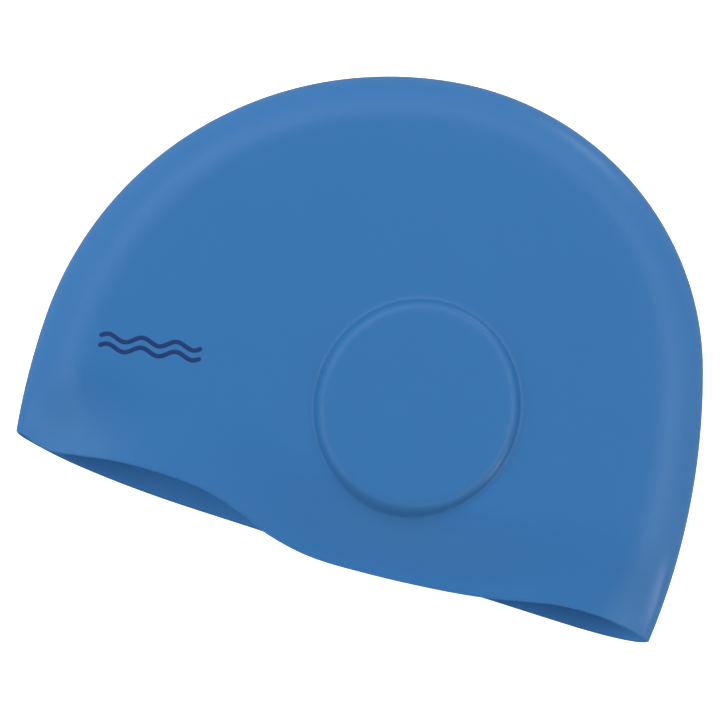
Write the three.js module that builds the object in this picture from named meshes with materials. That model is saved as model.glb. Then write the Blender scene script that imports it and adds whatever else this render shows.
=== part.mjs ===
// Moulded silicone swim cap with two raised oval ear pockets, lying on its right side.
//
// Frame: millimetres. X runs along the rim from the forehead (-X) to the nape (+X), Y from the
// rim up to the crown, Z through the cap's thickness. The cap rests on the flat top of its lower
// ear pocket, and the origin is the middle of the underside of its bounding box.
//
// The cap is one skin. Its two side panels meet in a rolled fold that runs from the forehead
// corner over the crown to the nape corner. Below, the rim stays open and gapes most at the
// forehead and at the nape.

import * as THREE from 'three';

// Skin and thickness
const WALL = 1.2;
const HALF_THICKNESS = 15.0;
const FOLD_DEPTH = 20.0;
const CORNER_FOLD_DEPTH = 3.5;

// Fold line, as tangent arcs from the forehead corner to the nape corner
const FRONT_CORNER = { x: -109.9, y: 0.0, headingDegrees: 99.8 };
const FOLD_ARCS = [
  { stretch: 'forehead', radius: 246, turnDegrees: 9.7 },
  { stretch: 'front of the crown', radius: 122.7, turnDegrees: 82.1 },
  { stretch: 'back of the crown', radius: 98.1, turnDegrees: 80.8 },
  { stretch: 'nape', radius: 243.4, turnDegrees: 22.6 },
];

// Rim, by sections across it: the edge of the upper and of the lower panel along Y, and how far
// the upper panel's edge stands off the middle plane
const RIM_SECTIONS = [
  { x: -98, upper: -3.6, lower: -1.7, gape: 5.5 },
  { x: -88, upper: -3.2, lower: -2.0, gape: 9.8 },
  { x: -75, upper: -1.8, lower: -2.1, gape: 13.5 },
  { x: -60, upper: -1.2, lower: -2.3, gape: 15.0 },
  { x: -45, upper: -1.7, lower: -2.5, gape: 14.3 },
  { x: -32, upper: -4.5, lower: -2.8, gape: 12.4 },
  { x: -20, upper: -8.4, lower: -3.3, gape: 10.4 },
  { x: -5, upper: -10.5, lower: -5.0, gape: 8.7 },
  { x: 15, upper: -9.6, lower: -5.2, gape: 8.0 },
  { x: 35, upper: -7.7, lower: -3.4, gape: 8.2 },
  { x: 50, upper: -5.7, lower: -1.5, gape: 9.0 },
  { x: 62, upper: -3.3, lower: -0.9, gape: 10.2 },
  { x: 76, upper: -0.4, lower: -0.4, gape: 11.5 },
  { x: 90, upper: 0.6, lower: 0.0, gape: 11.7 },
  { x: 101, upper: 0.2, lower: 0.1, gape: 8.6 },
];
const CORNER_GAPE = 3.0;
const RIM_REACH = 30.0;

// Ear pocket, a raised oval with a flat top, a round shoulder and a rounded foot. The shoulder
// drops as a power of the way down the step.
const POCKET_CENTRE = { x: 12.7, y: 47.3 };
const POCKET_FOOT = { alongX: 33.9, alongY: 37.0 };
const POCKET_STEP_WIDTH = 7.0;
const POCKET_HEIGHT = 3.3;
const POCKET_SHOULDER_POWER = 4.5;
const POCKET_FOOT_ROUND = 0.5;
const POCKET_TOP = HALF_THICKNESS + POCKET_HEIGHT;

// Facets
const FOLD_SEGMENTS = 40;
const RIM_CORNER_STEPS = [1, 4, 9, 16];
const RIM_MIDDLE_SEGMENTS = 20;
const POCKET_TOP_RINGS = 2;
const POCKET_STEP_RINGS = 4;
const POCKET_STEP_CROWDING = 1.5;
const PANEL_RINGS = 4;
const FOLD_RINGS = 5;
const CORNER_BLEND = 40;
const SLOPE_STEP = 0.05;

const SILICONE_COLOUR = 0x3e76b1;

const SIDES = { upper: 1, lower: -1 };
const radians = THREE.MathUtils.degToRad;
const { clamp, lerp, smoothstep } = THREE.MathUtils;

// The circles that the arcs of the fold line follow, with where each begins and ends
function foldCircles() {
  const circles = [];
  let { x, y } = FRONT_CORNER;
  let heading = radians(FRONT_CORNER.headingDegrees);
  for (const { radius, turnDegrees } of FOLD_ARCS) {
    const turn = radians(turnDegrees);
    const centre = new THREE.Vector2(x + radius * Math.sin(heading), y - radius * Math.cos(heading));
    circles.push({ centre, radius, turn, heading, length: radius * turn });
    heading -= turn;
    x = centre.x - radius * Math.sin(heading);
    y = centre.y + radius * Math.cos(heading);
  }
  return circles;
}

const CIRCLES = foldCircles();
const FOLD_LENGTH = CIRCLES.reduce((total, circle) => total + circle.length, 0);

// Point of the fold line at a distance from the forehead corner, with the outward direction there
function foldPoint(distance) {
  let left = distance;
  let circle = CIRCLES[0];
  for (circle of CIRCLES) {
    if (left <= circle.length) break;
    left -= circle.length;
  }
  const past = circle === CIRCLES.at(-1) ? circle.length : left;
  const heading = circle.heading - Math.min(left, past) / circle.radius;
  const outward = new THREE.Vector2(-Math.sin(heading), Math.cos(heading));
  return { point: circle.centre.clone().addScaledVector(outward, circle.radius), outward };
}

// Distance from a point of the panel to the fold line
function distanceToFold(x, y) {
  let nearest = Infinity;
  for (const { centre, radius, turn, heading } of CIRCLES) {
    const dx = x - centre.x;
    const dy = y - centre.y;
    const along = clamp(heading - Math.atan2(-dx, dy), 0, turn);
    const footX = centre.x - radius * Math.sin(heading - along);
    const footY = centre.y + radius * Math.cos(heading - along);
    nearest = Math.min(nearest, Math.hypot(x - footX, y - footY));
  }
  return nearest;
}

const BACK_CORNER = foldPoint(FOLD_LENGTH).point;
const RIM = [
  { x: FRONT_CORNER.x, upper: FRONT_CORNER.y, lower: FRONT_CORNER.y, gape: CORNER_GAPE },
  ...RIM_SECTIONS,
  { x: BACK_CORNER.x, upper: BACK_CORNER.y, lower: BACK_CORNER.y, gape: CORNER_GAPE },
];

// Slope of a column of the rim's sections at one row, from the rows beside it
function rimSlope(row, column) {
  const before = RIM[Math.max(row - 1, 0)];
  const after = RIM[Math.min(row + 1, RIM.length - 1)];
  return (after[column] - before[column]) / (after.x - before.x);
}

// Smooth value of a column of the rim's sections at x
function rimValue(column, x) {
  const at = clamp(x, RIM[0].x, RIM.at(-1).x);
  const row = clamp(RIM.findIndex((section) => section.x >= at) - 1, 0, RIM.length - 2);
  const [start, end] = [RIM[row], RIM[row + 1]];
  const span = end.x - start.x;
  const t = (at - start.x) / span;
  const bend = t * (1 - t) * span;
  const startPull = bend * (1 - t) * rimSlope(row, column);
  const endPull = -bend * t * rimSlope(row + 1, column);
  return lerp(start[column], end[column], t * t * (3 - 2 * t)) + startPull + endPull;
}

// Quarter-round rise from 0 at the fold line to 1 at the given depth inside it
function roll(distance, depth) {
  const t = clamp(distance / depth, 0, 1);
  return Math.sqrt(1 - (1 - t) ** 2);
}

// How far outside the pocket's flat top a point lies, as a share of the step's width
function pocketStep(x, y) {
  const dx = x - POCKET_CENTRE.x;
  const dy = y - POCKET_CENTRE.y;
  const distance = Math.hypot(dx, dy);
  const foot = distance / Math.hypot(dx / POCKET_FOOT.alongX, dy / POCKET_FOOT.alongY);
  return distance === 0 ? -1 : (distance - foot) / POCKET_STEP_WIDTH + 1;
}

// How far the pocket's shoulder has dropped, from 0 on the flat top to 1 past the foot. It is the
// mean of the power curve over a short stretch, which rounds the foot.
function pocketDrop(x, y) {
  const share = pocketStep(x, y);
  const reach = POCKET_FOOT_ROUND / POCKET_STEP_WIDTH;
  const power = POCKET_SHOULDER_POWER + 1;
  const sum = (end) => clamp(end, 0, 1) ** power / power + Math.max(end - 1, 0);
  return (sum(share + reach) - sum(share - reach)) / (2 * reach);
}

// Height of a panel's outer face over the cap's middle plane
function panelHeight(side, x, y) {
  const inside = distanceToFold(x, y);
  const panel = HALF_THICKNESS * roll(inside, FOLD_DEPTH);
  const lip = rimValue('gape', x) * roll(inside, CORNER_FOLD_DEPTH);
  const aboveRim = y - rimValue(side, x);
  const skin = lerp(lip, panel, smoothstep(aboveRim, 0, RIM_REACH));
  return lerp(POCKET_TOP, skin, pocketDrop(x, y));
}

// Outward direction of a panel's outer face
function panelNormal(side, x, y) {
  const slopeX = panelHeight(side, x + SLOPE_STEP, y) - panelHeight(side, x - SLOPE_STEP, y);
  const slopeY = panelHeight(side, x, y + SLOPE_STEP) - panelHeight(side, x, y - SLOPE_STEP);
  return new THREE.Vector3(-slopeX, -slopeY, 2 * SLOPE_STEP).normalize();
}

// Edge points of one panel: along the fold line, then back along the rim
function panelEdge(side) {
  const edge = [];
  for (let i = 0; i <= FOLD_SEGMENTS; i += 1) {
    edge.push({ ...foldPoint((FOLD_LENGTH * i) / FOLD_SEGMENTS), rimDistance: 0 });
  }
  const front = FRONT_CORNER.x;
  const back = BACK_CORNER.x;
  const inset = RIM_CORNER_STEPS.at(-1);
  const xs = RIM_CORNER_STEPS.map((step) => back - step);
  for (let i = 1; i < RIM_MIDDLE_SEGMENTS; i += 1) {
    xs.push(lerp(back - inset, front + inset, i / RIM_MIDDLE_SEGMENTS));
  }
  xs.push(...RIM_CORNER_STEPS.map((step) => front + step).reverse());
  for (const x of xs) {
    const point = new THREE.Vector2(x, rimValue(side, x));
    edge.push({ point, rimDistance: Math.min(x - front, back - x) });
  }
  return edge;
}

// Places of the rings on one ray from the pocket's centre to an edge point, as shares of the ray
function ringShares(direction, length, rimDistance) {
  const foot = 1 / Math.hypot(direction.x / POCKET_FOOT.alongX, direction.y / POCKET_FOOT.alongY);
  const top = foot - POCKET_STEP_WIDTH;
  const places = [];
  for (let i = 1; i <= POCKET_TOP_RINGS; i += 1) places.push((top * i) / POCKET_TOP_RINGS);
  for (let i = 1; i <= POCKET_STEP_RINGS; i += 1) {
    const left = (1 - i / POCKET_STEP_RINGS) ** POCKET_STEP_CROWDING;
    places.push(lerp(top, foot, 1 - left));
  }
  const foldTop = length - FOLD_DEPTH;
  const outerRings = PANEL_RINGS + FOLD_RINGS;
  const evenly = smoothstep(rimDistance, 0, CORNER_BLEND);
  for (let i = 1; i <= outerRings; i += 1) {
    const inFold = (i - PANEL_RINGS) / FOLD_RINGS;
    const rolled = length - FOLD_DEPTH * (1 - Math.sin((inFold * Math.PI) / 2));
    const onFoldRay = inFold > 0 ? rolled : lerp(foot, foldTop, i / PANEL_RINGS);
    places.push(lerp(onFoldRay, lerp(foot, length, i / outerRings), evenly));
  }
  return places.map((place) => place / length);
}

// Outer-face points and inner-face points of one panel, ray by ray
function panelRays(side) {
  const centre = new THREE.Vector2(POCKET_CENTRE.x, POCKET_CENTRE.y);
  return panelEdge(side).map(({ point, outward, rimDistance }) => {
    const ray = point.clone().sub(centre);
    const length = ray.length();
    const shares = ringShares(ray.clone().normalize(), length, rimDistance);
    return shares.map((share, ring) => {
      const { x, y } = centre.clone().addScaledVector(ray, share);
      const onFold = outward !== undefined && ring === shares.length - 1;
      const height = onFold ? 0 : panelHeight(side, x, y);
      const normal = onFold ? new THREE.Vector3(outward.x, outward.y, 0) : panelNormal(side, x, y);
      return skinPoint(side, x, y, height, normal);
    });
  });
}

// A point of the outer face and the one that lies under it on the inner face
function skinPoint(side, x, y, height, normal) {
  const flip = new THREE.Vector3(1, 1, SIDES[side]);
  const outer = new THREE.Vector3(x, y, height).multiply(flip);
  const inner = outer.clone().addScaledVector(normal.clone().multiply(flip), -WALL);
  return { outer, inner };
}

function vertexAt(positions, index) {
  return new THREE.Vector3().fromArray(positions, 3 * index);
}

// The whole skin as one closed surface, each four-sided facet split along its shorter diagonal
function capShellGeometry() {
  const positions = [];
  const triangles = [];
  const addVertex = (vector) => positions.push(...vector.toArray()) / 3 - 1;
  const addTriangle = (a, b, c, flipped) => triangles.push(...(flipped ? [a, c, b] : [a, b, c]));
  const span = (a, b) => vertexAt(positions, a).distanceTo(vertexAt(positions, b));
  const addQuad = (a, b, c, d, flipped) => {
    if (span(a, c) < span(b, d)) {
      addTriangle(a, b, c, flipped);
      addTriangle(a, c, d, flipped);
    } else {
      addTriangle(a, b, d, flipped);
      addTriangle(b, c, d, flipped);
    }
  };
  const addPoint = ({ outer, inner }) => ({ outer: addVertex(outer), inner: addVertex(inner) });

  const sheets = {};
  for (const side of Object.keys(SIDES)) {
    const rays = panelRays(side);
    const lastRing = rays[0].length - 1;
    const shared = sheets.upper?.rays;
    const rows = rays.map((ray, r) => ray.map((point, ring) => {
      const onFold = r <= FOLD_SEGMENTS && ring === lastRing;
      return onFold && shared ? shared[r][ring] : addPoint(point);
    }));
    const { x, y } = POCKET_CENTRE;
    const height = panelHeight(side, x, y);
    const hub = addPoint(skinPoint(side, x, y, height, new THREE.Vector3(0, 0, 1)));
    sheets[side] = { rays: rows, hub, lastRing };
  }

  for (const [side, { rays, hub, lastRing }] of Object.entries(sheets)) {
    for (const face of ['outer', 'inner']) {
      const flipped = (side === 'upper') === (face === 'outer');
      rays.forEach((ray, r) => {
        const next = rays[(r + 1) % rays.length];
        addTriangle(hub[face], ray[0][face], next[0][face], flipped);
        for (let ring = 0; ring < lastRing; ring += 1) {
          const near = [ray[ring][face], ray[ring + 1][face]];
          const far = [next[ring][face], next[ring + 1][face]];
          addQuad(near[0], near[1], far[1], far[0], flipped);
        }
      });
    }
    for (let r = FOLD_SEGMENTS; r < rays.length; r += 1) {
      const here = rays[r][lastRing];
      const there = rays[(r + 1) % rays.length][lastRing];
      addQuad(here.outer, here.inner, there.inner, there.outer, side === 'upper');
    }
  }

  const geometry = new THREE.BufferGeometry();
  geometry.setAttribute('position', new THREE.Float32BufferAttribute(positions, 3));
  geometry.setIndex(triangles);
  geometry.computeVertexNormals();
  return geometry;
}

const silicone = new THREE.MeshStandardMaterial({
  color: SILICONE_COLOUR,
  roughness: 0.55,
  metalness: 0,
});

function capShell() {
  const geometry = capShellGeometry();
  geometry.computeBoundingBox();
  const { min, max } = geometry.boundingBox;
  const shell = new THREE.Mesh(geometry, silicone);
  shell.name = 'cap_shell';
  shell.position.set(-(min.x + max.x) / 2, -(min.y + max.y) / 2, POCKET_TOP);
  return shell;
}

const swimCap = new THREE.Group();
swimCap.add(capShell());

export default swimCap;
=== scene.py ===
"""Moulded silicone swim cap with raised oval ear pockets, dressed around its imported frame.

The cap is one thin skin: two side panels that meet in a rolled fold over the crown, an open
wavy rim, and an oval ear pocket on each side. This script lays a fine skin over the same named
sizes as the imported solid, rounds the cut rim, prints a small plain mark on the side panel and
lights it all in a white studio. Shape sizes are millimetres, in a pattern frame with x along the
rim from forehead to nape, y up to the crown and z out from the middle plane.
"""

import logging
import math
from dataclasses import dataclass, field
from enum import Enum

import bmesh
import bpy
import numpy as np
from mathutils import Matrix, Vector


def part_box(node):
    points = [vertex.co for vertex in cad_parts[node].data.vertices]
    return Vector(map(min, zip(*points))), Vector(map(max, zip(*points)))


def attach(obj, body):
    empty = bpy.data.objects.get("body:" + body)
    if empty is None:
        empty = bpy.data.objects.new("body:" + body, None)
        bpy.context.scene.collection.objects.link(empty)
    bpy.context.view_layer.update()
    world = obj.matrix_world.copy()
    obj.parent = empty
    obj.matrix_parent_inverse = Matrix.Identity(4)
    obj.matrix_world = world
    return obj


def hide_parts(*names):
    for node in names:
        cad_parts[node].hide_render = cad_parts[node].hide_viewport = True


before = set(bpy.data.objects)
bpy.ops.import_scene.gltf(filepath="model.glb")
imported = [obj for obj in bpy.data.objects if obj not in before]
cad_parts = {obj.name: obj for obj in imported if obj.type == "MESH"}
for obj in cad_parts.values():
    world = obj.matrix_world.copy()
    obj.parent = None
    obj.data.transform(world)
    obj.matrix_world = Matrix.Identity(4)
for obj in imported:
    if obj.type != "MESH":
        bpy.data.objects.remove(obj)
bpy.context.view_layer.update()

MM = 0.001
LOG = logging.getLogger("swim_cap")


class Side(Enum):
    """The two side panels, by the sign of their height over the middle plane."""

    UPPER = 1
    LOWER = -1


class Reach(Enum):
    """What a soft light shows in. Polarising sheets keep it out of the other."""

    COLOUR = "colour"
    GLOSS = "gloss"


def linear(hex_colour: str) -> tuple[float, float, float, float]:
    """Turns an sRGB hex colour to linear.

    Args:
        hex_colour: Six hex digits, such as "3E76B1".

    Returns:
        Linear red, green, blue and an alpha of 1.
    """
    channels = [int(hex_colour[i : i + 2], 16) / 255 for i in (0, 2, 4)]
    curve = [c / 12.92 if c <= 0.04045 else ((c + 0.055) / 1.055) ** 2.4 for c in channels]
    return (curve[0], curve[1], curve[2], 1.0)


def add_node(
    tree: bpy.types.NodeTree, kind: str, inputs: dict | None = None, **settings: object
) -> bpy.types.Node:
    """Adds a node to a tree with its settings, input values and links.

    Args:
        tree: The node tree.
        kind: The node's type name.
        inputs: Values by input name or index. An output socket is linked, anything else is set.
        settings: Properties of the node itself.

    Returns:
        The new node.
    """
    node = tree.nodes.new(kind)
    for name, value in settings.items():
        setattr(node, name, value)
    for key, value in (inputs or {}).items():
        if isinstance(value, bpy.types.NodeSocket):
            tree.links.new(value, node.inputs[key])
        else:
            node.inputs[key].default_value = value
    return node


def new_material(name: str) -> tuple[bpy.types.Material, bpy.types.NodeTree]:
    """Makes a material with an empty node tree.

    Args:
        name: The material's name.

    Returns:
        The material and its tree.
    """
    material = bpy.data.materials.new(name)
    material.use_nodes = True
    material.node_tree.nodes.clear()
    return material, material.node_tree


def smooth(share: np.ndarray) -> np.ndarray:
    """Eases a share from 0 to 1 with level ends, and clips it to that range."""
    t = np.clip(share, 0.0, 1.0)
    return t * t * (3.0 - 2.0 * t)


def blend(start: np.ndarray, end: np.ndarray, share: np.ndarray) -> np.ndarray:
    """Mixes two values by a share of 0 to 1."""
    return start + (end - start) * share


def unit(vectors: np.ndarray) -> np.ndarray:
    """Scales vectors in the last axis to length 1."""
    return vectors / np.linalg.norm(vectors, axis=-1, keepdims=True)


@dataclass(frozen=True)
class MouldedSilicone:
    """Silicone rubber, compression moulded in a lightly blasted steel mould.

    To the eye: an even mid blue with a satin surface, so highlights spread wide and soft. The
    blasted mould leaves a grain of about 0.1 mm, and the skin's flow a faint unevenness.
    """

    name: str = "moulded_silicone_rubber"
    body_hex: str = "2C6BA5"
    pale_hex: str = "2E6DA7"
    translucence: float = 0.25
    scatter: tuple[float, float, float] = (0.5, 0.8, 1.0)
    scatter_mm: float = 1.0
    roughness: float = 0.36
    roughness_spread: float = 0.05
    ior: float = 1.5
    gloss: float = 0.5
    tone_mm: float = 45.0
    flow_mm: float = 14.0
    flow_depth_mm: float = 0.25
    flow_bump: float = 0.15
    grain_mm: float = 0.45
    grain_depth_mm: float = 0.03
    grain_bump: float = 0.25

    def material(self) -> bpy.types.Material:
        """Builds the silicone's material.

        Returns:
            The material.
        """
        material, tree = new_material(self.name)
        place = add_node(tree, "ShaderNodeTexCoord").outputs["Object"]

        # The pigment drifts by a tone too faint to name, over the width of three fingers
        tone = add_node(
            tree,
            "ShaderNodeTexNoise",
            {"Vector": place, "Scale": 1.0 / (self.tone_mm * MM), "Detail": 2.0},
        )
        colour = add_node(
            tree,
            "ShaderNodeMix",
            {"Factor": tone.outputs["Fac"], 6: linear(self.body_hex), 7: linear(self.pale_hex)},
            data_type="RGBA",
        )

        # The mould's blasted grain is 0.1 mm and too fine to show, so it is drawn at 0.45 mm
        grain = add_node(
            tree,
            "ShaderNodeTexNoise",
            {"Vector": place, "Scale": 1.0 / (self.grain_mm * MM), "Detail": 3.0},
        )
        flow = add_node(
            tree,
            "ShaderNodeTexNoise",
            {"Vector": place, "Scale": 1.0 / (self.flow_mm * MM), "Detail": 1.0},
        )
        rough = add_node(
            tree,
            "ShaderNodeMapRange",
            {
                "Value": grain.outputs["Fac"],
                "To Min": self.roughness - self.roughness_spread,
                "To Max": self.roughness + self.roughness_spread,
            },
        )
        uneven = add_node(
            tree,
            "ShaderNodeBump",
            {
                "Strength": self.flow_bump,
                "Distance": self.flow_depth_mm * MM,
                "Height": flow.outputs["Fac"],
            },
        )
        blasted = add_node(
            tree,
            "ShaderNodeBump",
            {
                "Strength": self.grain_bump,
                "Distance": self.grain_depth_mm * MM,
                "Height": grain.outputs["Fac"],
                "Normal": uneven.outputs["Normal"],
            },
        )
        skin = add_node(
            tree,
            "ShaderNodeBsdfPrincipled",
            {
                "Base Color": colour.outputs[2],
                "Roughness": rough.outputs["Result"],
                "IOR": self.ior,
                "Specular IOR Level": self.gloss,
                "Subsurface Weight": self.translucence,
                "Subsurface Radius": self.scatter,
                "Subsurface Scale": self.scatter_mm * MM,
                "Normal": blasted.outputs["Normal"],
            },
        )
        add_node(tree, "ShaderNodeOutputMaterial", {"Surface": skin.outputs["BSDF"]})
        return material


@dataclass(frozen=True)
class TalcAndPaintedLightLining(MouldedSilicone):
    """The same silicone on the inside, dusted with talc so that the cap doesn't cling.

    To the eye: dead matt from the talc. Its paler colour is painted light, standing in for the
    light that the shaded inside lacks, so that the open mouth isn't a black hole.
    """

    name: str = "talc_and_painted_light_inside"
    # Painted light: these paler blues brighten the shaded inside of the cap
    body_hex: str = "458AC6"
    pale_hex: str = "498DC9"
    roughness: float = 0.8


@dataclass(frozen=True)
class PadPrintedInk:
    """Silicone ink, pad printed and cured on the skin.

    To the eye: a flat, dense navy, a little duller than the skin, with a barely uneven film.
    """

    name: str = "pad_printed_silicone_ink"
    deep_hex: str = "0A2A5E"
    thin_hex: str = "10356F"
    roughness: float = 0.42
    ior: float = 1.45
    film_mm: float = 0.6
    film_depth_mm: float = 0.02
    film_bump: float = 0.2

    def material(self) -> bpy.types.Material:
        """Builds the ink's material.

        Returns:
            The material.
        """
        material, tree = new_material(self.name)
        place = add_node(tree, "ShaderNodeTexCoord").outputs["Object"]
        film = add_node(
            tree,
            "ShaderNodeTexNoise",
            {"Vector": place, "Scale": 1.0 / (self.film_mm * MM), "Detail": 2.0},
        )
        colour = add_node(
            tree,
            "ShaderNodeMix",
            {"Factor": film.outputs["Fac"], 6: linear(self.deep_hex), 7: linear(self.thin_hex)},
            data_type="RGBA",
        )
        bump = add_node(
            tree,
            "ShaderNodeBump",
            {
                "Strength": self.film_bump,
                "Distance": self.film_depth_mm * MM,
                "Height": film.outputs["Fac"],
            },
        )
        ink = add_node(
            tree,
            "ShaderNodeBsdfPrincipled",
            {
                "Base Color": colour.outputs[2],
                "Roughness": self.roughness,
                "IOR": self.ior,
                "Normal": bump.outputs["Normal"],
            },
        )
        add_node(tree, "ShaderNodeOutputMaterial", {"Surface": ink.outputs["BSDF"]})
        return material


@dataclass(frozen=True)
class OpalAcrylic:
    """The lit opal acrylic top of a product table.

    To the eye: plain white, with its own light thinning out the shadow round the cap.
    """

    name: str = "opal_acrylic_table"
    sheet_hex: str = "E6E6E6"
    glow: float = 1.1
    roughness: float = 0.9
    gloss: float = 0.1
    ripple_mm: float = 40.0
    ripple_depth_mm: float = 0.05
    ripple_bump: float = 0.05

    def material(self) -> bpy.types.Material:
        """Builds the table top's material.

        Returns:
            The material.
        """
        material, tree = new_material(self.name)
        place = add_node(tree, "ShaderNodeTexCoord").outputs["Object"]
        ripple = add_node(
            tree,
            "ShaderNodeTexNoise",
            {"Vector": place, "Scale": 1.0 / (self.ripple_mm * MM)},
        )
        bump = add_node(
            tree,
            "ShaderNodeBump",
            {
                "Strength": self.ripple_bump,
                "Distance": self.ripple_depth_mm * MM,
                "Height": ripple.outputs["Fac"],
            },
        )
        sheet = add_node(
            tree,
            "ShaderNodeBsdfPrincipled",
            {
                "Base Color": linear(self.sheet_hex),
                "Roughness": self.roughness,
                "Specular IOR Level": self.gloss,
                "Emission Color": linear(self.sheet_hex),
                "Emission Strength": self.glow,
                "Normal": bump.outputs["Normal"],
            },
        )
        add_node(tree, "ShaderNodeOutputMaterial", {"Surface": sheet.outputs["BSDF"]})
        return material


@dataclass(frozen=True)
class Arc:
    """One stretch of the fold line.

    Attributes:
        stretch: Where it lies on the head.
        radius: Its radius.
        turn: How far it turns, in degrees.
    """

    stretch: str
    radius: float
    turn: float


@dataclass(frozen=True)
class FoldLine:
    """The fold over the crown, as tangent arcs from the forehead corner to the nape corner."""

    start: tuple[float, float] = (-109.9, 0.0)
    heading: float = 99.8
    arcs: tuple[Arc, ...] = (
        Arc("forehead", radius=246.0, turn=9.7),
        Arc("front of the crown", radius=122.7, turn=82.1),
        Arc("back of the crown", radius=98.1, turn=80.8),
        Arc("nape", radius=243.4, turn=22.6),
    )

    def circles(self) -> list[dict[str, float]]:
        """Works out the circle that each arc follows.

        Returns:
            For each arc its centre, radius, first heading, turn and length.
        """
        found = []
        x, y = self.start
        heading = math.radians(self.heading)
        for arc in self.arcs:
            turn = math.radians(arc.turn)
            centre_x = x + arc.radius * math.sin(heading)
            centre_y = y - arc.radius * math.cos(heading)
            found.append(
                {
                    "x": centre_x,
                    "y": centre_y,
                    "radius": arc.radius,
                    "heading": heading,
                    "turn": turn,
                    "length": arc.radius * turn,
                }
            )
            heading -= turn
            x = centre_x - arc.radius * math.sin(heading)
            y = centre_y + arc.radius * math.cos(heading)
        return found

    def length(self) -> float:
        """Length of the whole fold line."""
        return sum(circle["length"] for circle in self.circles())

    def points(self, distances: np.ndarray) -> tuple[np.ndarray, np.ndarray]:
        """Finds points of the fold line.

        Args:
            distances: How far along the line each point lies, from the forehead corner.

        Returns:
            The points and the outward directions there, each with x and y.
        """
        points = np.zeros((len(distances), 2))
        outwards = np.zeros((len(distances), 2))
        begun = 0.0
        for circle in self.circles():
            here = distances >= begun - 1e-9
            heading = circle["heading"] - (distances[here] - begun) / circle["radius"]
            outward = np.stack([-np.sin(heading), np.cos(heading)], axis=-1)
            outwards[here] = outward
            points[here] = np.array([circle["x"], circle["y"]]) + circle["radius"] * outward
            begun += circle["length"]
        return points, outwards

    def distance_from(self, x: np.ndarray, y: np.ndarray) -> np.ndarray:
        """Distance from each point of the panel to the fold line.

        Args:
            x: Places along the rim.
            y: Places up to the crown.

        Returns:
            The distances.
        """
        nearest = np.full(np.shape(x), np.inf)
        for circle in self.circles():
            dx, dy = x - circle["x"], y - circle["y"]
            along = np.clip(circle["heading"] - np.arctan2(-dx, dy), 0.0, circle["turn"])
            heading = circle["heading"] - along
            foot_x = circle["x"] - circle["radius"] * np.sin(heading)
            foot_y = circle["y"] + circle["radius"] * np.cos(heading)
            nearest = np.minimum(nearest, np.hypot(x - foot_x, y - foot_y))
        return nearest


@dataclass(frozen=True)
class RimSection:
    """One section across the rim.

    Attributes:
        x: Its place along the rim.
        upper: Edge of the upper panel along y.
        lower: Edge of the lower panel along y.
        gape: How far a panel's edge stands off the middle plane.
    """

    x: float
    upper: float
    lower: float
    gape: float


@dataclass(frozen=True)
class Rim:
    """The open wavy edge, through sections from the forehead to the nape."""

    fold: FoldLine = field(default_factory=FoldLine)
    corner_gape: float = 3.0
    sections: tuple[RimSection, ...] = (
        RimSection(x=-98, upper=-3.6, lower=-1.7, gape=5.5),
        RimSection(x=-88, upper=-3.2, lower=-2.0, gape=9.8),
        RimSection(x=-75, upper=-1.8, lower=-2.1, gape=13.5),
        RimSection(x=-60, upper=-1.2, lower=-2.3, gape=15.0),
        RimSection(x=-45, upper=-1.7, lower=-2.5, gape=14.3),
        RimSection(x=-32, upper=-4.5, lower=-2.8, gape=12.4),
        RimSection(x=-20, upper=-8.4, lower=-3.3, gape=10.4),
        RimSection(x=-5, upper=-10.5, lower=-5.0, gape=8.7),
        RimSection(x=15, upper=-9.6, lower=-5.2, gape=8.0),
        RimSection(x=35, upper=-7.7, lower=-3.4, gape=8.2),
        RimSection(x=50, upper=-5.7, lower=-1.5, gape=9.0),
        RimSection(x=62, upper=-3.3, lower=-0.9, gape=10.2),
        RimSection(x=76, upper=-0.4, lower=-0.4, gape=11.5),
        RimSection(x=90, upper=0.6, lower=0.0, gape=11.7),
        RimSection(x=101, upper=0.2, lower=0.1, gape=8.6),
    )

    def corners(self) -> np.ndarray:
        """The forehead corner and the nape corner."""
        return self.fold.points(np.array([0.0, self.fold.length()]))[0]

    def value(self, column: str, x: np.ndarray) -> np.ndarray:
        """Reads a column of the sections smoothly at any place.

        Args:
            column: upper, lower or gape.
            x: Places along the rim.

        Returns:
            The column's values there.
        """
        front, back = self.corners()
        ends = [self.corner_gape] * 2 if column == "gape" else [front[1], back[1]]
        middle = [getattr(section, column) for section in self.sections]
        knots = np.array([front[0], *[section.x for section in self.sections], back[0]])
        values = np.array([ends[0], *middle, ends[1]])
        rows = np.arange(len(knots))
        before, after = np.maximum(rows - 1, 0), np.minimum(rows + 1, len(knots) - 1)
        slopes = (values[after] - values[before]) / (knots[after] - knots[before])

        at = np.clip(x, knots[0], knots[-1])
        row = np.clip(np.searchsorted(knots, at) - 1, 0, len(knots) - 2)
        span = knots[row + 1] - knots[row]
        t = (at - knots[row]) / span
        bend = t * (1.0 - t) * span
        pull = bend * ((1.0 - t) * slopes[row] - t * slopes[row + 1])
        return blend(values[row], values[row + 1], smooth(t)) + pull


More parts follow.
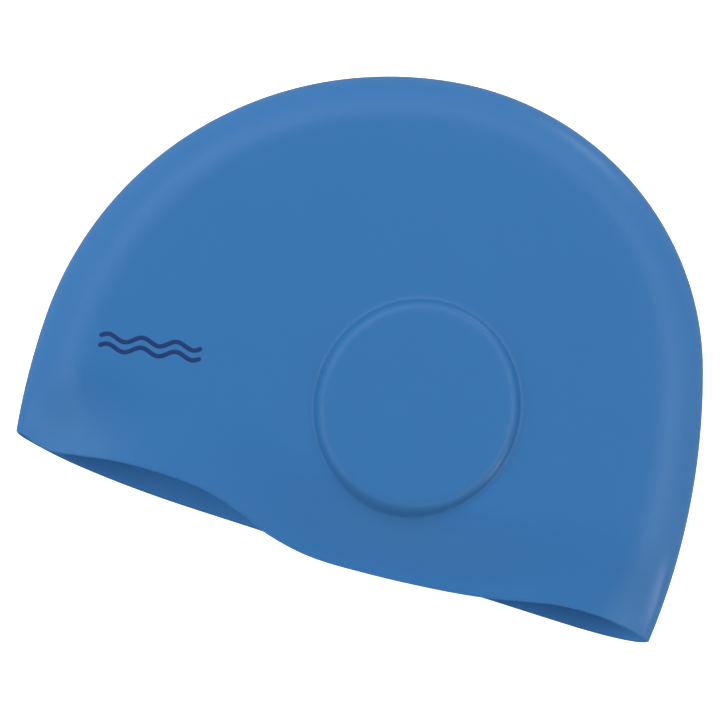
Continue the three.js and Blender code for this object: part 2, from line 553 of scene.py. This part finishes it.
@dataclass(frozen=True)
class EarPocket:
    """A raised oval with a flat top, moulded out over the ear."""

    centre: tuple[float, float] = (12.7, 47.3)
    foot: tuple[float, float] = (33.9, 37.0)
    step_width: float = 7.0
    height: float = 3.3
    shoulder: float = 4.5
    foot_round: float = 0.5

    def foot_distance(self, dx: np.ndarray, dy: np.ndarray) -> np.ndarray:
        """Distance from the centre to the pocket's foot in each direction.

        Args:
            dx: The directions' parts along the rim.
            dy: Their parts up to the crown.

        Returns:
            The distances.
        """
        away = np.maximum(np.hypot(dx, dy), 1e-9)
        across = np.maximum(np.hypot(dx / self.foot[0], dy / self.foot[1]), 1e-12)
        return away / across

    def step_share(self, x: np.ndarray, y: np.ndarray) -> np.ndarray:
        """How far down the pocket's step each point lies.

        Args:
            x: Places along the rim.
            y: Places up to the crown.

        Returns:
            0 where the flat top ends and 1 at the foot, negative inside and more beyond.
        """
        dx, dy = x - self.centre[0], y - self.centre[1]
        past = np.hypot(dx, dy) - self.foot_distance(dx, dy)
        return past / self.step_width + 1.0

    def drop_share(self, x: np.ndarray, y: np.ndarray) -> np.ndarray:
        """How far the round shoulder has dropped, from 0 on the flat top to 1 past the foot.

        The drop is a power of the step's share. Its mean over a short stretch rounds the foot.

        Args:
            x: Places along the rim.
            y: Places up to the crown.

        Returns:
            The shares.
        """
        share = self.step_share(x, y)
        reach = self.foot_round / self.step_width
        sums = []
        for end in (share + reach, share - reach):
            on_step = np.clip(end, 0.0, 1.0) ** (self.shoulder + 1.0) / (self.shoulder + 1.0)
            sums.append(on_step + np.maximum(end - 1.0, 0.0))
        return (sums[0] - sums[1]) / (2.0 * reach)


@dataclass
class SkinMesh:
    """Points and faces of the skin, as they are gathered.

    Attributes:
        points: Blocks of points, in the pattern frame.
        faces: Point numbers of each face.
        inside: For each face 1 on the cap's inside, else 0.
    """

    points: list[np.ndarray] = field(default_factory=list)
    faces: list[tuple[int, ...]] = field(default_factory=list)
    inside: list[int] = field(default_factory=list)

    def keep(self, block: np.ndarray) -> np.ndarray:
        """Adds a block of points.

        Args:
            block: The points, with x, y and z in the last axis.

        Returns:
            Their numbers, in the block's own shape.
        """
        first = sum(len(known) for known in self.points)
        flat = block.reshape(-1, 3)
        self.points.append(flat)
        return first + np.arange(len(flat)).reshape(block.shape[:-1])

    def fan(self, hub: int, ring: np.ndarray, is_inner: int) -> None:
        """Lays three-sided faces from a middle point to a closed ring.

        Args:
            hub: The middle point's number.
            ring: Point numbers round the ring.
            is_inner: 1 on the cap's inside, else 0.
        """
        after = np.roll(ring, -1)
        self.faces += [(hub, int(here), int(there)) for here, there in zip(ring, after)]
        self.inside += [is_inner] * len(ring)

    def cover(self, grid: np.ndarray, is_inner: int) -> None:
        """Lays four-sided faces over a grid whose last row joins its first.

        Args:
            grid: Point numbers, row by column.
            is_inner: 1 on the cap's inside, else 0.
        """
        after = np.roll(grid, -1, axis=0)
        quads = np.stack([grid[:, :-1], grid[:, 1:], after[:, 1:], after[:, :-1]], axis=-1)
        quads = quads.reshape(-1, 4).tolist()
        self.faces += [tuple(quad) for quad in quads]
        self.inside += [is_inner] * len(quads)


@dataclass
class CapShell:
    """The whole skin: both panels, the fold between them, both ear pockets and the rim."""

    silicone: MouldedSilicone
    lining_face: TalcAndPaintedLightLining
    fold: FoldLine = field(default_factory=FoldLine)
    rim: Rim = field(default_factory=Rim)
    pocket: EarPocket = field(default_factory=EarPocket)
    wall: float = 0.9
    half_thickness: float = 15.0
    fold_depth: float = 20.0
    corner_fold_depth: float = 3.5
    rim_reach: float = 30.0
    corner_blend: float = 40.0
    slope_step: float = 0.05
    fold_segments: int = 180
    rim_segments: int = 130
    lip_segments: int = 8
    rim_crowding: float = 0.6
    outline_steps: int = 2000
    rings: dict[str, int] = field(
        default_factory=lambda: {"top": 3, "step": 16, "panel": 14, "fold": 20}
    )
    crowding: dict[str, float] = field(
        default_factory=lambda: {"step": 1.5, "panel": 1.8, "rim": 1.4}
    )

    def origin(self) -> np.ndarray:
        """Place of the pattern's origin in the frame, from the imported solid's box.

        Returns:
            The offset from pattern to frame, in millimetres.
        """
        low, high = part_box("cap_shell")
        box_middle = (np.array(low) + np.array(high)) / 2.0 / MM
        distances = np.linspace(0.0, self.fold.length(), self.outline_steps)
        outline = self.fold.points(distances)[0]
        rim_x = np.linspace(outline[0, 0], outline[-1, 0], self.outline_steps)
        edges = [self.rim.value(column, rim_x) for column in ("upper", "lower")]
        lowest_y = min(edge.min() for edge in edges)
        middle_x = (outline[:, 0].min() + outline[:, 0].max()) / 2.0
        middle_y = (lowest_y + outline[:, 1].max()) / 2.0
        return box_middle - np.array([middle_x, middle_y, 0.0])

    def roll(self, inside: np.ndarray, depth: float) -> np.ndarray:
        """Quarter-round rise from 0 at the fold line to 1 at a depth inside it."""
        t = np.clip(inside / depth, 0.0, 1.0)
        return np.sqrt(1.0 - (1.0 - t) ** 2)

    def height(self, side: Side, x: np.ndarray, y: np.ndarray) -> np.ndarray:
        """Height of a panel's outer face over the middle plane.

        Args:
            side: Which panel.
            x: Places along the rim.
            y: Places up to the crown.

        Returns:
            The heights, never negative.
        """
        inside = self.fold.distance_from(x, y)
        panel = self.half_thickness * self.roll(inside, self.fold_depth)
        lip = self.rim.value("gape", x) * self.roll(inside, self.corner_fold_depth)
        above_rim = y - self.rim.value(side.name.lower(), x)
        skin = blend(lip, panel, smooth(above_rim / self.rim_reach))
        top = self.half_thickness + self.pocket.height
        return blend(top, skin, self.pocket.drop_share(x, y))

    def normal(self, side: Side, x: np.ndarray, y: np.ndarray) -> np.ndarray:
        """Outward directions of a panel's outer face, as if the panel faced +z.

        Args:
            side: Which panel.
            x: Places along the rim.
            y: Places up to the crown.

        Returns:
            Unit directions, with x, y and z in the last axis.
        """
        step = self.slope_step
        slope_x = self.height(side, x + step, y) - self.height(side, x - step, y)
        slope_y = self.height(side, x, y + step) - self.height(side, x, y - step)
        return unit(np.stack([-slope_x, -slope_y, np.full(np.shape(x), 2.0 * step)], axis=-1))

    def edge(self, side: Side) -> tuple[np.ndarray, np.ndarray, np.ndarray]:
        """Edge points of one panel, along the fold line and then back along the rim.

        The ends are held back by half the wall, which the rounded lip fills again.

        Args:
            side: Which panel.

        Returns:
            The points, the outward directions of the fold's points, and how far each point lies
            from the nearer corner along the rim.
        """
        lip = self.wall / 2.0
        distances = np.linspace(lip, self.fold.length() - lip, self.fold_segments + 1)
        fold_points, outwards = self.fold.points(distances)
        front, back = fold_points[0, 0], fold_points[-1, 0]
        shares = np.linspace(0.0, 1.0, self.rim_segments + 1)[1:-1]
        crowded = (1.0 - np.cos(shares * math.pi)) / 2.0
        x = blend(back, front, blend(shares, crowded, self.rim_crowding))
        y = self.rim.value(side.name.lower(), x) + lip
        to_corner = np.minimum(x - front, back - x)
        points = np.concatenate([fold_points, np.stack([x, y], axis=-1)])
        return points, outwards, np.concatenate([np.zeros(len(fold_points)), to_corner])

    def ring_places(
        self, directions: np.ndarray, lengths: np.ndarray, to_corner: np.ndarray
    ) -> np.ndarray:
        """Places of the rings on each ray from the pocket's centre to the edge.

        Args:
            directions: Unit directions of the rays.
            lengths: Lengths of the rays.
            to_corner: How far each ray's end lies from the nearer corner along the rim.

        Returns:
            The distances from the centre, ray by ring.
        """
        foot = self.pocket.foot_distance(directions[:, 0], directions[:, 1])
        top = foot - self.pocket.step_width
        evenly = smooth(to_corner / self.corner_blend)
        outer_rings = self.rings["panel"] + self.rings["fold"]
        places = [top * i / self.rings["top"] for i in range(1, self.rings["top"] + 1)]
        for i in range(1, self.rings["step"] + 1):
            left = (1.0 - i / self.rings["step"]) ** self.crowding["step"]
            places.append(blend(top, foot, 1.0 - left))
        for i in range(1, outer_rings + 1):
            in_fold = (i - self.rings["panel"]) / self.rings["fold"]
            rolled = lengths - self.fold_depth * (1.0 - math.sin(in_fold * math.pi / 2.0))
            outwards = min(i / self.rings["panel"], 1.0) ** self.crowding["panel"]
            level = blend(foot, lengths - self.fold_depth, outwards)
            on_fold_ray = rolled if in_fold > 0 else level
            on_rim_ray = blend(foot, lengths, (i / outer_rings) ** self.crowding["rim"])
            places.append(blend(on_fold_ray, on_rim_ray, evenly))
        return np.stack(places, axis=-1)

    def sheet(self, side: Side) -> tuple[np.ndarray, np.ndarray]:
        """Points and outward directions of one panel's outer face.

        Args:
            side: Which panel.

        Returns:
            Two grids, ray by ring, with x, y and z.
        """
        centre = np.array(self.pocket.centre)
        points, outwards, to_corner = self.edge(side)
        rays = points - centre
        lengths = np.linalg.norm(rays, axis=-1)
        directions = rays / lengths[:, None]
        places = self.ring_places(directions, lengths, to_corner)
        plan = centre + directions[:, None, :] * places[:, :, None]
        x, y = plan[..., 0], plan[..., 1]
        outer = np.stack([x, y, self.height(side, x, y)], axis=-1)
        normals = self.normal(side, x, y)
        on_fold = self.fold_segments + 1
        outer[:on_fold, -1, 2] = 0.0
        normals[:on_fold, -1, :2] = outwards
        normals[:on_fold, -1, 2] = 0.0
        flip = np.array([1.0, 1.0, side.value])
        return outer * flip, normals * flip

    def surface(self) -> SkinMesh:
        """The whole skin as one closed surface.

        Returns:
            Its points and faces.
        """
        skin = SkinMesh()
        on_fold = self.fold_segments + 1
        grids: dict[Side, tuple[np.ndarray, np.ndarray]] = {}
        edges: dict[Side, tuple[np.ndarray, np.ndarray]] = {}
        for side in Side:
            outer, normals = self.sheet(side)
            numbers = (skin.keep(outer), skin.keep(outer - normals * self.wall))
            if side is Side.LOWER:
                for upper_grid, grid in zip(grids[Side.UPPER], numbers):
                    grid[:on_fold, -1] = upper_grid[:on_fold, -1]
            grids[side] = numbers
            edges[side] = (outer[:, -1], normals[:, -1])
            top = side.value * (self.half_thickness + self.pocket.height)
            for is_inner, grid in enumerate(numbers):
                z = top - side.value * self.wall * is_inner
                hub = int(skin.keep(np.array([[*self.pocket.centre, z]]))[0])
                skin.fan(hub, grid[:, 0], is_inner)
                skin.cover(grid, is_inner)
        self.add_lip(skin, grids, edges)
        return skin

    def add_lip(
        self,
        skin: SkinMesh,
        grids: dict[Side, tuple[np.ndarray, np.ndarray]],
        edges: dict[Side, tuple[np.ndarray, np.ndarray]],
    ) -> None:
        """Closes the rim with a half-round lip between the outside and the inside.

        Args:
            skin: What the lip is added to.
            grids: Point numbers of each panel's outside and inside.
            edges: Outer edge points of each panel and the outward directions there.
        """
        # The rim as one loop: along the upper panel from nape to forehead, then back below
        last_on_fold = self.fold_segments
        row_count = len(grids[Side.UPPER][0])
        loop = [(Side.UPPER, row) for row in [*range(last_on_fold, row_count), 0]]
        loop += [(Side.LOWER, row) for row in range(row_count - 1, last_on_fold, -1)]
        outer = np.array([edges[side][0][row] for side, row in loop])
        normals = np.array([edges[side][1][row] for side, row in loop])
        outer_numbers = np.array([grids[side][0][row, -1] for side, row in loop])
        inner_numbers = np.array([grids[side][1][row, -1] for side, row in loop])
        middle = outer - normals * self.wall / 2.0
        along = np.roll(middle, -1, axis=0) - np.roll(middle, 1, axis=0)
        outwards = unit(np.cross(along, normals))
        outwards *= np.where(outwards[:, 1:2] > 0, -1.0, 1.0)
        columns = [outer_numbers]
        for i in range(1, self.lip_segments):
            angle = math.pi * i / self.lip_segments
            reach = math.cos(angle) * normals + math.sin(angle) * outwards
            columns.append(skin.keep(middle + reach * self.wall / 2.0))
        columns.append(inner_numbers)
        skin.cover(np.stack(columns, axis=-1), is_inner=0)

    def build(self) -> bpy.types.Object:
        """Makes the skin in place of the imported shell, dressed and riding on the frame.

        Returns:
            The skin.
        """
        surface = self.surface()
        points = np.concatenate(surface.points)
        used = sorted({number for face in surface.faces for number in face})
        renumber = np.zeros(len(points), int)
        renumber[used] = np.arange(len(used))
        placed = (points[used] + self.origin()) * MM
        faces = [tuple(int(renumber[number]) for number in face) for face in surface.faces]
        skin = mesh_object("cap_skin", placed, faces, self.silicone.material())
        # The inside faces get the paler lining, whose colour is painted light for the shaded inside
        skin.data.materials.append(self.lining_face.material())
        skin.data.polygons.foreach_set("material_index", surface.inside)
        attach(skin, "root")
        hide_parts("cap_shell")
        return skin


@dataclass
class WaveMark:
    """A small plain mark of two wave lines, printed on the upper panel near the forehead."""

    ink: PadPrintedInk
    shell: CapShell
    middle: tuple[float, float] = (-76.6, 37.9)
    slant: float = 12.0
    length: float = 34.0
    wave_count: float = 3.0
    wave_height: float = 1.1
    line_gap: float = 3.4
    line_width: float = 1.5
    film: float = 0.06
    edge_film_share: float = 0.5
    tip_width_share: float = 0.03
    steps_along: int = 150
    steps_across: int = 6

    def centre_line(self, share: np.ndarray, offset: float) -> np.ndarray:
        """Points along one wave line.

        Args:
            share: How far along the line each point lies, from 0 to 1.
            offset: How far the line lies above the middle of the mark.

        Returns:
            The points, with x and y.
        """
        along = (share - 0.5) * self.length
        across = offset + self.wave_height * np.sin(share * self.wave_count * 2.0 * math.pi)
        angle = math.radians(self.slant)
        x = self.middle[0] + along * math.cos(angle) - across * math.sin(angle)
        y = self.middle[1] + along * math.sin(angle) + across * math.cos(angle)
        return np.stack([x, y], axis=-1)

    def ribbon(self, offset: float) -> tuple[np.ndarray, list[tuple[int, ...]]]:
        """One wave line as a closed thin film with rounded ends, lying on the skin.

        Args:
            offset: How far the line lies above the middle of the mark.

        Returns:
            Its points and faces.
        """
        share = np.linspace(0.0, 1.0, self.steps_along + 1)
        line = self.centre_line(share, offset)
        along = unit(np.gradient(line, axis=0))
        across = np.stack([-along[:, 1], along[:, 0]], axis=-1)
        travelled = share * self.length
        to_end = np.minimum(travelled, self.length - travelled)
        half = self.line_width / 2.0
        rounding = np.sqrt(1.0 - (1.0 - np.clip(to_end / half, 0.0, 1.0)) ** 2)
        rounding = np.maximum(rounding, self.tip_width_share)
        spread = np.linspace(-1.0, 1.0, self.steps_across + 1)
        plan = line[:, None] + across[:, None] * (half * rounding)[:, None, None] * spread[:, None]
        x, y = plan[..., 0], plan[..., 1]
        skin = np.stack([x, y, self.shell.height(Side.UPPER, x, y)], axis=-1)
        normals = self.shell.normal(Side.UPPER, x, y)
        crown = np.sqrt(np.clip(1.0 - spread**2, 0.0, 1.0))[None, :, None]
        top = skin + normals * self.film * blend(self.edge_film_share, 1.0, crown)
        bottom = skin - normals * self.film
        count = x.size
        upper = np.arange(count).reshape(x.shape)
        lower = upper + count
        faces = []
        for grid, turned in ((upper, False), (lower, True)):
            quads = np.stack([grid[:-1, :-1], grid[1:, :-1], grid[1:, 1:], grid[:-1, 1:]], -1)
            quads = quads[..., ::-1] if turned else quads
            faces += [tuple(quad) for quad in quads.reshape(-1, 4).tolist()]
        border = [*upper[:, 0], *upper[-1, 1:], *upper[-2::-1, -1], *upper[0, -2:0:-1]]
        for here, there in zip(border, border[1:] + border[:1]):
            faces.append((int(here), int(there), int(there + count), int(here + count)))
        return np.concatenate([top.reshape(-1, 3), bottom.reshape(-1, 3)]), faces

    def build(self) -> bpy.types.Object:
        """Makes the mark, dressed and riding on the frame.

        Returns:
            The mark.
        """
        points: list[np.ndarray] = []
        faces: list[tuple[int, ...]] = []
        for offset in (self.line_gap / 2.0, -self.line_gap / 2.0):
            first = sum(len(block) for block in points)
            ribbon_points, ribbon_faces = self.ribbon(offset)
            points.append(ribbon_points)
            faces += [tuple(number + first for number in face) for face in ribbon_faces]
        placed = (np.concatenate(points) + self.shell.origin()) * MM
        mark = mesh_object("wave_mark", placed, faces, self.ink.material())
        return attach(mark, "root")


def mesh_object(
    name: str, points: np.ndarray, faces: list[tuple[int, ...]], material: bpy.types.Material
) -> bpy.types.Object:
    """Makes a smooth mesh object from points and faces, with its faces turned out.

    Args:
        name: The object's name.
        points: Its vertices, in metres.
        faces: Vertex numbers of each face.
        material: What covers it.

    Returns:
        The object, linked to the scene.
    """
    mesh = bpy.data.meshes.new(name)
    mesh.from_pydata(points.tolist(), [], faces)
    shaped = bmesh.new()
    shaped.from_mesh(mesh)
    bmesh.ops.recalc_face_normals(shaped, faces=shaped.faces)
    shaped.to_mesh(mesh)
    shaped.free()
    mesh.polygons.foreach_set("use_smooth", [True] * len(mesh.polygons))
    mesh.materials.append(material)
    mesh.update()
    made = bpy.data.objects.new(name, mesh)
    bpy.context.scene.collection.objects.link(made)
    return made


@dataclass(frozen=True)
class SoftBox:
    """One soft light, aimed at the cap.

    Attributes:
        name: Its name.
        azimuth: Where it stands round the cap, in degrees from +X towards +Y.
        elevation: How high it stands, in degrees.
        size: Its side, in metres.
        power: Its power, in watts.
        reach: Whether it shows in the silicone's colour or in its gloss.
        distance: How far off it stands, in metres.
    """

    name: str
    azimuth: float
    elevation: float
    size: float
    power: float
    reach: Reach = Reach.COLOUR
    distance: float = 1.4


@dataclass
class Studio:
    """A lit white table top, a tent of white cloth, soft lights and the camera.

    Attributes:
        table: What the table top is made of.
        target: What the lights face and the camera's place is measured from, in millimetres.
        camera_tilt: How far the camera leans from overhead towards the rim, in degrees.
        camera_distance: How far off it stands, in millimetres.
        camera_roll: How far it is rolled, in degrees.
        aim: What it looks at, in millimetres.
        sensor: Its sensor's width, in millimetres.
        lens: Its focal length, in millimetres.
        far_clip: How far it sees, in metres.
        floor_side: The table's side, in metres.
        tent_light: How bright the tent's cloth is.
        tent: Pairs of a height, as the sine of the elevation, and the share of light there.
        mouth_side: Where the cloth starts and ends thinning towards the cap's mouth, along Y.
        mouth_light: The share of the light that is left there.
        lights: The soft boxes.
    """

    table: OpalAcrylic
    target: tuple[float, float, float] = (1.5, -1.7, 18.3)
    camera_tilt: float = 16.0
    camera_distance: float = 1500.0
    camera_roll: float = 18.535
    aim: tuple[float, float, float] = (-8.55, -16.36, 18.3)
    sensor: float = 36.0
    lens: float = 225.0
    far_clip: float = 100.0
    floor_side: float = 12.0
    tent_light: float = 1.15
    mouth_side: tuple[float, float] = (-0.45, -0.9)
    mouth_light: float = 0.6
    tent: tuple[tuple[float, float], ...] = (
        (0.0, 0.2),
        (0.38, 0.4),
        (0.6, 0.65),
        (0.78, 1.0),
        (0.93, 0.2),
    )
    lights: tuple[SoftBox, ...] = (
        SoftBox("crown_key", azimuth=123.0, elevation=44.0, size=0.7, power=7.3),
        SoftBox("nape_fill", azimuth=18.5, elevation=42.0, size=0.7, power=5.0),
        SoftBox("brow_fill", azimuth=198.5, elevation=42.0, size=0.7, power=3.7),
        SoftBox("low_nape_fill", azimuth=18.5, elevation=20.0, size=0.4, power=1.2),
        SoftBox("low_brow_fill", azimuth=198.5, elevation=20.0, size=0.4, power=2.5),
        SoftBox("crown_rim", azimuth=73.0, elevation=3.0, size=0.25, power=0.8, reach=Reach.GLOSS),
        SoftBox("nape_rim", azimuth=-4.0, elevation=2.0, size=0.35, power=2.1, reach=Reach.GLOSS),
    )

    def build_floor(self) -> bpy.types.Object:
        """Lays the table top at the height that the cap rests on.

        Returns:
            The floor.
        """
        half = self.floor_side / 2.0
        corners = np.array([(-half, -half, 0), (half, -half, 0), (half, half, 0), (-half, half, 0)])
        floor = mesh_object("table_top", corners, [(0, 1, 2, 3)], self.table.material())
        # Its light is kept out of the cap's gloss, or the rolled fold would turn white
        floor.visible_glossy = False
        return floor

    def build_lights(self) -> None:
        """Sets the room's even light and the soft boxes."""
        world = bpy.data.worlds.new("white_tent")
        world.use_nodes = True
        tree = world.node_tree
        tree.nodes.clear()
        direction = add_node(tree, "ShaderNodeTexCoord").outputs["Generated"]
        rise = add_node(tree, "ShaderNodeSeparateXYZ", {"Vector": direction})
        ramp = add_node(tree, "ShaderNodeValToRGB", {"Fac": rise.outputs["Z"]})
        ramp.color_ramp.interpolation = "EASE"
        for number, (place, light) in enumerate(self.tent):
            stops = ramp.color_ramp.elements
            stop = stops[number] if number < 2 else stops.new(place)
            stop.position = place
            stop.color = (light, light, light, 1.0)
        # The cloth is parted at the mouth's side, where the camera is worked from
        cloth = add_node(
            tree,
            "ShaderNodeMapRange",
            {
                "Value": rise.outputs["Y"],
                "From Min": self.mouth_side[1],
                "From Max": self.mouth_side[0],
                "To Min": self.mouth_light * self.tent_light,
                "To Max": self.tent_light,
            },
        )
        strength = add_node(
            tree,
            "ShaderNodeMath",
            {0: ramp.outputs["Color"], 1: cloth.outputs["Result"]},
            operation="MULTIPLY",
        )
        tent = add_node(
            tree,
            "ShaderNodeBackground",
            {"Color": (1.0, 1.0, 1.0, 1.0), "Strength": strength.outputs["Value"]},
        )
        add_node(tree, "ShaderNodeOutputWorld", {"Surface": tent.outputs["Background"]})
        bpy.context.scene.world = world
        target = Vector(self.target) * MM
        for box in self.lights:
            light = bpy.data.lights.new(box.name, "AREA")
            light.size = box.size
            light.energy = box.power
            lamp = bpy.data.objects.new(box.name, light)
            azimuth, elevation = math.radians(box.azimuth), math.radians(box.elevation)
            level = math.cos(elevation)
            towards = Vector(
                (level * math.cos(azimuth), level * math.sin(azimuth), math.sin(elevation))
            )
            lamp.location = target + towards * box.distance
            lamp.visible_glossy = box.reach is Reach.GLOSS
            lamp.visible_diffuse = box.reach is Reach.COLOUR
            lamp.rotation_mode = "QUATERNION"
            lamp.rotation_quaternion = towards.to_track_quat("Z", "Y")
            bpy.context.scene.collection.objects.link(lamp)

    def build_camera(self) -> bpy.types.Object:
        """Sets the camera above the cap, tilted towards the rim and rolled.

        Returns:
            The camera.
        """
        tilt, roll = math.radians(self.camera_tilt), math.radians(self.camera_roll)
        back = Vector((0.0, -math.sin(tilt), math.cos(tilt)))
        place = Vector(self.target) + back * self.camera_distance
        axis = (place - Vector(self.aim)).normalized()
        level = Vector((0.0, 1.0, 0.0)).cross(axis).normalized()
        upright = axis.cross(level)
        right = math.cos(roll) * level + math.sin(roll) * upright
        up = math.cos(roll) * upright - math.sin(roll) * level
        data = bpy.data.cameras.new("camera")
        data.sensor_width = self.sensor
        data.lens = self.lens
        data.clip_end = self.far_clip
        camera = bpy.data.objects.new("camera", data)
        turned = Matrix((right, up, axis)).transposed().to_4x4()
        camera.matrix_world = Matrix.Translation(place * MM) @ turned
        bpy.context.scene.collection.objects.link(camera)
        bpy.context.scene.camera = camera
        return camera

    def build(self) -> None:
        """Builds the floor, the lights and the camera."""
        self.build_floor()
        self.build_lights()
        self.build_camera()
        bpy.context.scene.view_settings.view_transform = "Standard"


def main() -> None:
    """Builds the studio and the cap, and reports each piece."""
    logging.basicConfig(level=logging.INFO, format="%(name)s: %(message)s")
    Studio(OpalAcrylic()).build()
    shell = CapShell(MouldedSilicone(), TalcAndPaintedLightLining())
    mark = WaveMark(PadPrintedInk(), shell)
    for piece in (shell.build(), mark.build()):
        LOG.info("%s: %d faces", piece.name, len(piece.data.polygons))


if __name__ == "__main__":
    main()
